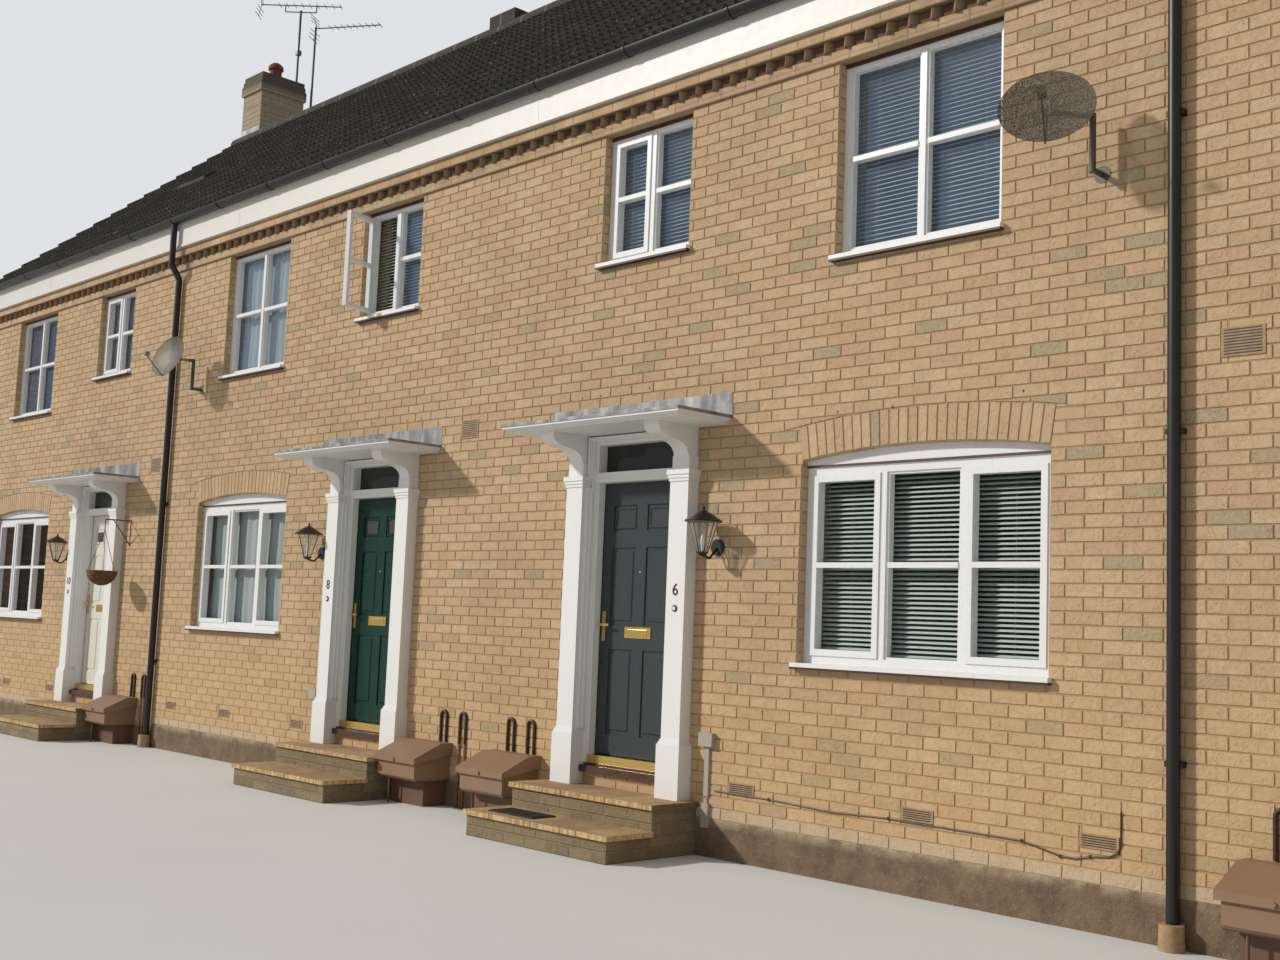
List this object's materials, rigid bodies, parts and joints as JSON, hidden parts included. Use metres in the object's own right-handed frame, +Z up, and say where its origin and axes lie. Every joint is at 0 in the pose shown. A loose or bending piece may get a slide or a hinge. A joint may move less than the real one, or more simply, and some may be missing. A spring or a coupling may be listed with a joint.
{
  "type": "terraced house row",
  "caption": "Row of two-storey yellow brick terraced houses with tiled roof, white door surrounds, flat canopies and hinged front doors.",
  "frame": {"origin": "middle of the row at paving level, halfway between front and rear brick faces", "axes": "+X along the row, to the right seen from the street; +Y from the street into the houses; +Z up"},
  "size_m": [23.2467, 8.049, 11.565],
  "materials": {
    "brick": "yellow stock facing bricks in mortar",
    "plaster": "painted plaster and boards",
    "roof_tile": "dark interlocking concrete tiles",
    "white_plastic": "white window joinery",
    "white_paint": "white painted joinery",
    "black_plastic": "black rainwater goods",
    "clay": "buff clay",
    "terracotta": "red clay pot",
    "glass": "clear window glass",
    "brass": "polished brass",
    "door_cream": "cream painted door",
    "door_green": "dark green painted door",
    "door_grey": "blue-grey painted door",
    "door_blue": "dark blue painted door",
    "brown_timber": "dark brown stained timber",
    "lead": "weathered sheet lead",
    "step_stone": "riven buff sandstone",
    "step_brick": "grey-brown bricks",
    "black_metal": "black painted cast metal",
    "brown_plastic": "brown moulded plastic",
    "dish_grey": "grey painted mesh",
    "aluminium": "aluminium tube",
    "fabric": "blinds and curtains",
    "coir": "coir lined basket"
  },
  "bodies": {
    "root": {"air_bricks": "clay", "brass_thresholds": "brass", "canopies": "white_paint", "chimney_pot": "terracotta", "chimney_stack": "brick", "clay_sockets": "clay", "consoles": "white_paint", "door_frames": "white_paint", "door_hinges": "brass", "door_sills": "brown_timber", "fascias": "white_paint", "first_floor": "plaster", "front_wall_1": "brick", "front_wall_2": "brick", "front_wall_3": "brick", "front_wall_4": "brick", "front_wall_5": "brick", "ground_floor": "brown_timber", "ground_glass": "glass", "ground_window_frames": "white_plastic", "gutters": "black_plastic", "hanging_basket": "coir", "lanterns": "black_metal", "lead_flashings": "lead", "left_end_wall": "brick", "meter_boxes": "brown_plastic", "narrow_window_frames": "white_plastic", "open_casement": "white_plastic", "over_door_walls": "brick", "party_walls": "plaster", "pilasters": "white_paint", "rear_cornice": "brick", "rear_downpipes": "black_plastic", "rear_roof_slope": "roof_tile", "rear_wall": "brick", "ridge_tiles": "roof_tile", "right_end_wall": "brick", "satellite_dishes": "dish_grey", "step_brickwork": "step_brick", "step_slabs": "step_stone", "street_cornice": "brick", "street_downpipes": "black_plastic", "street_roof_slope": "roof_tile", "television_aerials": "aluminium", "threshold_walls": "brick", "toplights": "glass", "upper_ceiling": "plaster", "upper_glass": "glass", "upper_window_frames": "white_plastic", "window_dressings": "fabric", "window_sills": "white_plastic"},
    "door_10": {"door_leaf_10": "door_cream", "door_furniture_10": "brass"},
    "door_8": {"door_leaf_8": "door_green", "door_furniture_8": "brass"},
    "door_6": {"door_leaf_6": "door_grey", "door_furniture_6": "brass"},
    "door_4": {"door_leaf_4": "door_blue", "door_furniture_4": "brass"}
  },
  "joints": [
    {"name": "door_10_hinge", "type": "hinge", "parent": "root", "child": "door_10", "pos_m": [-6.94, -3.368, 1.5], "axis": [0, 0, -1], "range_deg": [0, 90]},
    {"name": "door_8_hinge", "type": "hinge", "parent": "root", "child": "door_8", "pos_m": [-1.24, -3.368, 1.5], "axis": [0, 0, -1], "range_deg": [0, 90]},
    {"name": "door_6_hinge", "type": "hinge", "parent": "root", "child": "door_6", "pos_m": [2.06, -3.368, 1.5], "axis": [0, 0, -1], "range_deg": [0, 90]},
    {"name": "door_4_hinge", "type": "hinge", "parent": "root", "child": "door_4", "pos_m": [7.76, -3.368, 1.5], "axis": [0, 0, -1], "range_deg": [0, 90]}
  ]
}
